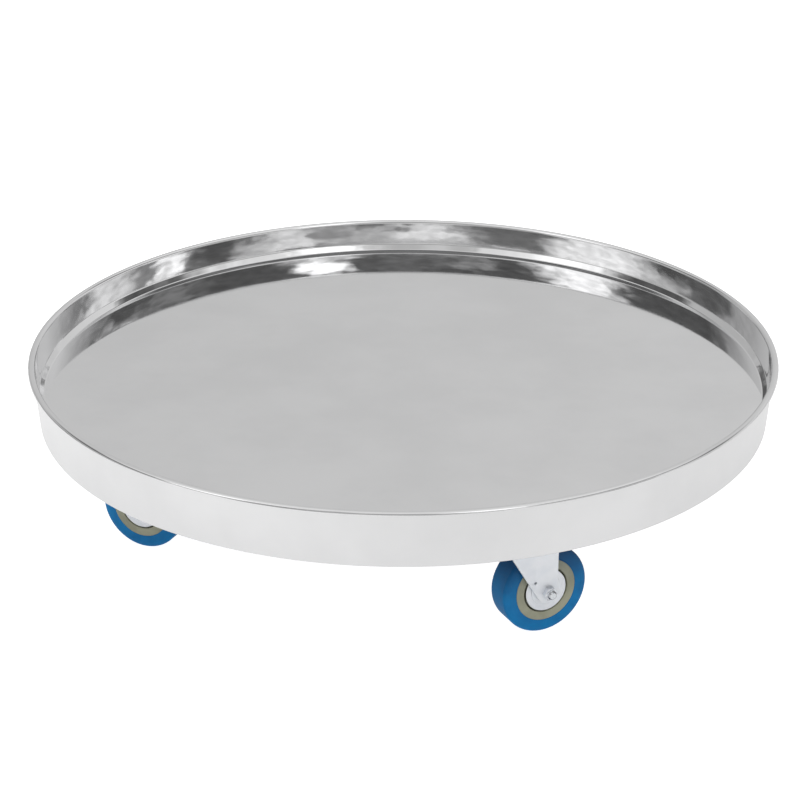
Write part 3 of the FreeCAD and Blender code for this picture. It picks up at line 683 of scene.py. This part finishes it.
def build_axle_nut(corner):
    """A lock nut: chamfered hexagon, round collar, and a recess whose floor is painted near-black as shade."""
    shoulder = -(LEG_OUTSIDE + 4.2 * MM)
    top = -(LEG_OUTSIDE + 6.0 * MM)
    recess_floor = top + 0.8 * MM
    collar = 4.3 * MM
    mouth = 3.65 * MM
    bore = AXLE_RADIUS + FIT
    profile = as_points((bore, -LEG_OUTSIDE), (HEX_CORNER, -LEG_OUTSIDE))
    profile += hexagon_end(shoulder, -1)
    profile += as_points(
        (collar + 0.15 * MM, shoulder),
        (collar, shoulder - 0.2 * MM),
        (collar, top + 0.7 * MM),
        (collar - 0.2 * MM, top + 0.2 * MM),
        (collar - 0.6 * MM, top),
        (mouth, top + 0.1 * MM),
        (mouth - 0.05 * MM, recess_floor),
        (bore, recess_floor),
    )
    work = lathe([profile], HEX_SEGMENTS, HEX_ACROSS)
    # the faces of the recess floor take the second material, a near-black painted shade
    for face in work.faces:
        if abs(face.calc_center_median().z - recess_floor) < 0.01 * MM:
            face.material_index = 1
    nut = finish_mesh(corner + "_lock_nut", work, corner + "_swivel", "fastener_zinc", wheel_place(corner))
    nut.data.materials.append(materials["nut_recess_shade"])
    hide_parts(corner + "_axle_nut")


for corner in CORNERS:
    build_tyre(corner)
    build_core(corner)
    build_axle_bolt(corner)
    build_axle_nut(corner)
    build_hub_discs(corner)


# ---------------------------------------------------------------- caster bolts

BOLT_SPACING = 46.0 * MM
BOLT_LENGTH = 12.0 * MM
BOLT_PLAIN = 4.0 * MM
CASTER_HEIGHT = 100.0 * MM
CASTER_CIRCLE = 262.0 * MM
TOP_PLATE = 2.5 * MM
WASHER_THICK = 1.2 * MM
WASHER_BORE = 3.2 * MM
WASHER_RADIUS = 6.0 * MM
WASHER_EDGE = 0.2 * MM
WASHER_UNDER = CASTER_HEIGHT - TOP_PLATE - WASHER_THICK


def bolt_places():
    """The matrices that put a piece turned about Z at each of the sixteen caster bolts."""
    for quarter in range(4):
        turn = Matrix.Rotation(FULL_TURN * quarter / 4, 4, "Z")
        for side_x in (-1, 1):
            for side_y in (-1, 1):
                spot = Vector((CASTER_CIRCLE + side_x * BOLT_SPACING / 2, side_y * BOLT_SPACING / 2, 0))
                yield turn @ Matrix.Translation(spot)


def at_every_bolt(name, node, profile, across=None):
    """One piece of sixteen copies of a turned profile, in place of the CAD node."""
    work = bmesh.new()
    for place in bolt_places():
        one = lathe([profile], HEX_SEGMENTS // 2, across)
        one.transform(place)
        mesh = bpy.data.meshes.new(name + "_one")
        one.to_mesh(mesh)
        one.free()
        work.from_mesh(mesh)
        bpy.data.meshes.remove(mesh)
    piece = finish_mesh(name, work, "chassis", "fastener_zinc")
    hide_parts(node)


def build_caster_bolts():
    """The sixteen bolts that hold the casters, put in from below into the nuts inside the channels."""
    head = list(reversed(head_end(WASHER_UNDER - HEAD_HEIGHT, -1)))
    head += as_points((HEX_CORNER, WASHER_UNDER), (AXLE_RADIUS, WASHER_UNDER))
    tip = WASHER_UNDER + BOLT_LENGTH
    shank = thread(AXLE_RADIUS, WASHER_UNDER + BOLT_PLAIN, tip)
    at_every_bolt("hexagon_bolts", "caster_bolts", head + shank + [Vector((0, tip))], HEX_ACROSS)


def build_caster_washers():
    """The sixteen washers between the bolt heads and the casters' top plates."""
    over = WASHER_UNDER + WASHER_THICK
    profile = rounded([
        (WASHER_BORE, WASHER_UNDER, 0),
        (WASHER_RADIUS, WASHER_UNDER, WASHER_EDGE),
        (WASHER_RADIUS, over, WASHER_EDGE),
        (WASHER_BORE, over, 0),
    ], steps=3)
    at_every_bolt("flat_washers", "caster_washers", profile)


build_caster_bolts()
build_caster_washers()


# ---------------------------------------------------------------- welds under the tray

WELD_SIZE = 2.6 * MM
WELD_LENGTH = 32.0 * MM
WELD_STEP = 62.0 * MM
WELD_FIRST = 12.0 * MM
WELD_LAST = 8.0 * MM
WELD_HOLLOW = 0.22
WELD_BLUNT = 0.35
RIPPLE = 1.6 * MM
RIPPLE_STEPS = 4
RIPPLE_DEPTH = 0.09
FILLET_STEPS = 6
JOINT_WELD = 10.0 * MM
JOINT_WELD_FOOT = 3.5 * MM
CHANNEL_HALF = 37.5 * MM
CHANNEL_REACH = 297.0 * MM


def weld_bead(work, start, along, out, up, length):
    """A rippled fillet bead in the corner of two faces that look along out and up."""
    rings = []
    steps = int(length / RIPPLE) * RIPPLE_STEPS
    for step in range(steps + 1):
        part = step / steps
        swell = min(1.0, 5 * min(part, 1 - part) + WELD_BLUNT)
        size = WELD_SIZE * swell * (1 + RIPPLE_DEPTH * math.cos(FULL_TURN * step / RIPPLE_STEPS))
        centre = start + along * (length * part)
        ring = [centre]
        for turn in range(FILLET_STEPS + 1):
            angle = FULL_TURN / 4 * turn / FILLET_STEPS
            reach = size * (1 - WELD_HOLLOW * math.sin(2 * angle))
            ring.append(centre + out * (reach * math.cos(angle)) + up * (reach * math.sin(angle)))
        rings.append([work.verts.new(point) for point in ring])
    for near, far in zip(rings, rings[1:]):
        for index in range(len(near)):
            after = (index + 1) % len(near)
            work.faces.new((near[index], near[after], far[after], far[index]))
    work.faces.new(list(reversed(rings[0])))
    work.faces.new(rings[-1])


def build_welds():
    """Stitch welds along both flanges of every channel, and where the channels meet."""
    work = bmesh.new()
    up = Vector(UPWARD)
    for quarter in range(4):
        turn = Matrix.Rotation(FULL_TURN * quarter / 4, 3, "Z")
        along = turn @ Vector((1, 0, 0))
        for side in (-1, 1):
            out = turn @ Vector((0, side, 0))
            reach = CHANNEL_HALF + WELD_FIRST
            while reach + WELD_LENGTH < CHANNEL_REACH - WELD_LAST:
                corner = along * reach + out * CHANNEL_HALF + up * PAN_UNDER
                weld_bead(work, corner, along, out, -up, WELD_LENGTH)
                reach += WELD_STEP
    for quarter in (1, 3):
        turn = Matrix.Rotation(FULL_TURN * quarter / 4, 3, "Z")
        for side in (-1, 1):
            corner = turn @ Vector((CHANNEL_HALF, side * CHANNEL_HALF, CASTER_HEIGHT + JOINT_WELD_FOOT))
            weld_bead(work, corner, up, turn @ Vector((1, 0, 0)), turn @ Vector((0, side, 0)), JOINT_WELD)
    finish_mesh("stitch_welds", work, "chassis", "channel_stainless", material="weld_metal")


build_welds()


# ---------------------------------------------------------------- floor

TOWARD_CAMERA = (math.sin(VIEW_AZIMUTH), -math.cos(VIEW_AZIMUTH), 0.0)
TO_THE_RIGHT = (math.cos(VIEW_AZIMUTH), math.sin(VIEW_AZIMUTH), 0.0)
FLOOR_RADIUS = 9.0
FLOOR_BELOW = 0.2 * MM

# the floor's glow in mirror reflections, right and left; the light it spreads; and as seen
FLOOR_GLOW = 0.215
FLOOR_GLOW_LEFT = 0.30
FLOOR_GLOW_SPREAD = 0.52
FLOOR_GLOW_SEEN = 0.95


def see_through_from_below(material):
    """The material shows only on its upper side, so the object can be looked at from underneath."""
    tree = material.node_tree
    output = next(node for node in tree.nodes if node.bl_idname == "ShaderNodeOutputMaterial")
    solid = output.inputs["Surface"].links[0].from_socket
    clear = tree.nodes.new("ShaderNodeBsdfTransparent").outputs[0]
    under = tree.nodes.new("ShaderNodeNewGeometry").outputs["Backfacing"]
    either = tree.nodes.new("ShaderNodeMixShader")
    for socket, given in zip(either.inputs, (under, solid, clear)):
        tree.links.new(given, socket)
    tree.links.new(either.outputs[0], output.inputs["Surface"])


def build_floor():
    """A plain pale floor, bright enough to read as a white sweep; calmer in reflections."""
    def paint(graph, place):
        fine = graph.noise(place, 3.0, 2.0)
        tint = graph.colours(fine, (0.50, 0.50, 0.50), (0.52, 0.52, 0.52))
        rays = graph.node("LightPath").outputs
        mirrored = graph.ramp(graph.dot(place, TO_THE_RIGHT), -0.45, 0.2, FLOOR_GLOW_LEFT, FLOOR_GLOW)
        glow = graph.blend(rays["Is Diffuse Ray"], mirrored, FLOOR_GLOW_SPREAD)
        return {"Base Color": tint, "Roughness": 0.9, "Specular IOR Level": 0.0,
                "Emission Color": (1.0, 1.0, 1.0, 1.0),
                "Emission Strength": graph.blend(rays["Is Camera Ray"], glow, FLOOR_GLOW_SEEN)}
    work = bmesh.new()
    bmesh.ops.create_circle(work, cap_ends=True, segments=96, radius=FLOOR_RADIUS)
    mesh = bpy.data.meshes.new("studio_floor")
    work.to_mesh(mesh)
    work.free()
    floor = bpy.data.objects.new("studio_floor", mesh)
    bpy.context.scene.collection.objects.link(floor)
    floor.location.z = cad_box[0][2] - FLOOR_BELOW
    mesh.materials.append(new_material("studio_floor", paint))
    see_through_from_below(mesh.materials[0])


# ---------------------------------------------------------------- sky

# What stands around the object, as the polished tray reflects it.  Each area has its bearing in
# degrees to the right of the camera, its elevation, the half widths of both, and its brightness.
# The wall shows what lies near the horizon, its image in the floor shows what lies higher, and the
# wall's sloped foot shows what lies higher still.
WALL_SEES = 9.0
FLOOR_IMAGE_SEES = 32.0
FOOT_SEES = 54.0
AREAS = (
    (112.0, 14.0, 9.0, 11.0, 0.80),
    (93.0, 12.0, 5.0, 11.0, 0.28),
    (82.0, 11.0, 5.0, 5.5, 1.30),
    (65.0, 9.0, 9.0, 12.0, 0.10),
    (37.0, WALL_SEES, 8.0, 9.0, 0.80),
    (24.0, WALL_SEES - 1.0, 6.0, 3.0, 0.30),
    (4.0, WALL_SEES + 6.0, 11.0, 3.0, 0.20),
    (-9.0, WALL_SEES, 8.0, 8.0, 0.90),
    (-36.0, WALL_SEES, 15.0, 10.0, 0.17),
    (-68.0, 10.0, 14.0, 12.0, 1.05),
    (-116.0, 14.0, 12.0, 12.0, 0.12),
    (-140.0, 17.0, 10.0, 9.0, 0.36),
    (140.0, 25.0, 14.0, 9.0, 0.33),
    (29.0, FLOOR_IMAGE_SEES, 7.0, 4.5, 1.60),
    (0.0, FLOOR_IMAGE_SEES, 12.0, 5.0, 0.15),
    (-22.0, FLOOR_IMAGE_SEES, 8.0, 4.0, 0.30),
    (-67.0, FLOOR_IMAGE_SEES, 11.0, 10.0, 1.30),
    (88.0, 30.0, 12.0, 6.0, 0.22),
    (32.0, FOOT_SEES, 12.0, 14.0, 1.45),
    (0.0, FOOT_SEES, 14.0, 14.0, 0.50),
    (-25.0, FOOT_SEES, 8.0, 14.0, 0.52),
    (-66.0, FOOT_SEES - 8.0, 14.0, 14.0, 1.30),
)
HORIZON_LEVEL = 0.52
HIGH_LEVEL = 0.10
BACK_LEVEL = 0.59
BACK_RISE = 0.05
BACK_SLANT = 0.15
HIGH_BACK_LEVEL = 0.14
ZENITH_LEVEL = 0.2
OVERHEAD_LEVEL = 0.8
OVERHEAD_LIGHT = 2.2
WHITE_LEVEL = 1.0


class Ray:
    """What the sky knows of the ray that reaches it: its direction and its kind, as node outputs."""

    def __init__(self, graph):
        self.way = graph.node("TexCoord").outputs["Generated"]
        self.side = graph.dot(self.way, TO_THE_RIGHT)
        ahead = graph.dot(self.way, TOWARD_CAMERA)
        self.bearing = graph.math("DEGREES", graph.math("ARCTAN2", self.side, ahead))
        self.turned = graph.math("ABSOLUTE", self.bearing)
        self.height = graph.math("DEGREES", graph.math("ARCSINE", graph.dot(self.way, UPWARD)))
        kinds = graph.node("LightPath").outputs
        self.seen = kinds["Is Camera Ray"]
        self.shiny = kinds["Is Glossy Ray"]
        # the depth is 1 straight from the camera, 2 after one reflection and 3 after two
        self.once = graph.ramp(kinds["Ray Depth"], 2.2, 2.8, 1.0, 0.0)
        self.twice = graph.math("MULTIPLY", self.shiny, graph.math("SUBTRACT", 1.0, self.once))


def uneven(graph, way, stretch, most):
    """A wandering number of degrees, up to most either way, that breaks up straight edges."""
    return graph.spread(graph.noise(graph.scaled(way, stretch), 6.0, 3.0, 0.6), -most, most)


def light_in_front(graph, ray):
    """The broken light and dark around the object, with soft light overhead."""
    bearing = graph.math("ADD", ray.bearing, uneven(graph, ray.way, (1.0, 1.0, 3.0), 5.0))
    height = graph.math("ADD", ray.height, uneven(graph, ray.way, (-1.0, 1.0, 2.0), 3.0))
    level = graph.blend(graph.ramp(height, 12.0, 17.0), HORIZON_LEVEL, HIGH_LEVEL)
    overhead = graph.blend(ray.shiny, OVERHEAD_LIGHT, OVERHEAD_LEVEL)
    level = graph.blend(graph.ramp(ray.height, 38.0, 44.0), level, overhead)
    for place, rise, half_width, half_height, brightness in AREAS:
        across = graph.math("ABSOLUTE", graph.math("SUBTRACT", bearing, place))
        along = graph.math("ABSOLUTE", graph.math("SUBTRACT", height, rise))
        inside = graph.math("MULTIPLY",
                            graph.ramp(across, half_width * 0.35, half_width * 1.65, 1.0, 0.0),
                            graph.ramp(along, half_height * 0.5, half_height * 1.5, 1.0, 0.0))
        level = graph.blend(inside, level, brightness)
    patches = graph.noise(graph.scaled(ray.way, (1.0, 1.0, 3.0)), 14.0, 3.0, 0.6)
    mottle = graph.blend(graph.ramp(ray.height, 40.0, 55.0), graph.spread(patches, 0.78, 1.22), 1.0)
    return graph.math("MULTIPLY", level, mottle)


def backdrop(graph, ray, level):
    """The level with an even grey behind the object, and at middle heights for the first reflection."""
    grey = graph.math("ADD", graph.ramp(ray.height, 17.0, 30.0, BACK_LEVEL, BACK_LEVEL + BACK_RISE),
                      graph.math("MULTIPLY", ray.side, BACK_SLANT))
    behind = graph.ramp(ray.turned, 125.0, 160.0)
    low = graph.ramp(ray.height, 44.0, 58.0, 1.0, 0.0)
    level = graph.blend(graph.math("MULTIPLY", behind, low), level, grey)
    middle = graph.band(ray.height, 8.0, 12.0, 27.0, 30.0)
    return graph.blend(graph.math("MULTIPLY", ray.once, middle), level, grey)


def dark_above(graph, ray, level):
    """The level with a darker back and zenith, which only the second reflection sees."""
    beside = graph.band(ray.turned, 95.0, 125.0, 155.0, 170.0)
    high = graph.math("MULTIPLY", graph.ramp(ray.height, 44.0, 52.0), beside)
    level = graph.blend(graph.math("MULTIPLY", high, ray.twice), level, HIGH_BACK_LEVEL)
    zenith = graph.math("MULTIPLY", graph.ramp(ray.height, 70.0, 78.0), ray.twice)
    return graph.blend(zenith, level, ZENITH_LEVEL)


def build_world():
    """The sky: its light for reflections, and plain white below the horizon and to the camera."""
    world = bpy.data.worlds.new("studio")
    bpy.context.scene.world = world
    world.use_nodes = True
    graph = Graph(world.node_tree)
    ray = Ray(graph)
    level = light_in_front(graph, ray)
    level = backdrop(graph, ray, level)
    level = dark_above(graph, ray, level)
    level = graph.blend(graph.ramp(ray.height, -4.0, 0.0, 1.0, 0.0), level, WHITE_LEVEL)
    level = graph.blend(ray.seen, level, WHITE_LEVEL)
    background = graph.node("Background", {"Color": level, "Strength": 1.0})
    output = graph.node("OutputWorld")
    graph.tree.links.new(background.outputs[0], output.inputs["Surface"])


# ---------------------------------------------------------------- camera

def build_camera():
    """The camera looks at the middle of the rim, then tilts down a little."""
    data = bpy.data.cameras.new("camera")
    data.lens = LENS
    data.sensor_width = SENSOR
    data.clip_end = 50.0
    camera = bpy.data.objects.new("camera", data)
    bpy.context.scene.collection.objects.link(camera)
    target = Vector((0, 0, RIM_LEVEL))
    away = Vector(TOWARD_CAMERA) * math.cos(VIEW_ELEVATION) + Vector(UPWARD) * math.sin(VIEW_ELEVATION)
    facing = away.to_track_quat("Z", "Y").to_matrix().to_4x4()
    trim = Matrix.Rotation(VIEW_PAN_LEFT, 4, "Y") @ Matrix.Rotation(-VIEW_TILT_DOWN, 4, "X")
    camera.matrix_world = Matrix.Translation(target + away * VIEW_DISTANCE) @ facing @ trim
    bpy.context.scene.camera = camera


build_floor()
build_world()
build_camera()
bpy.context.scene.view_settings.view_transform = "Standard"
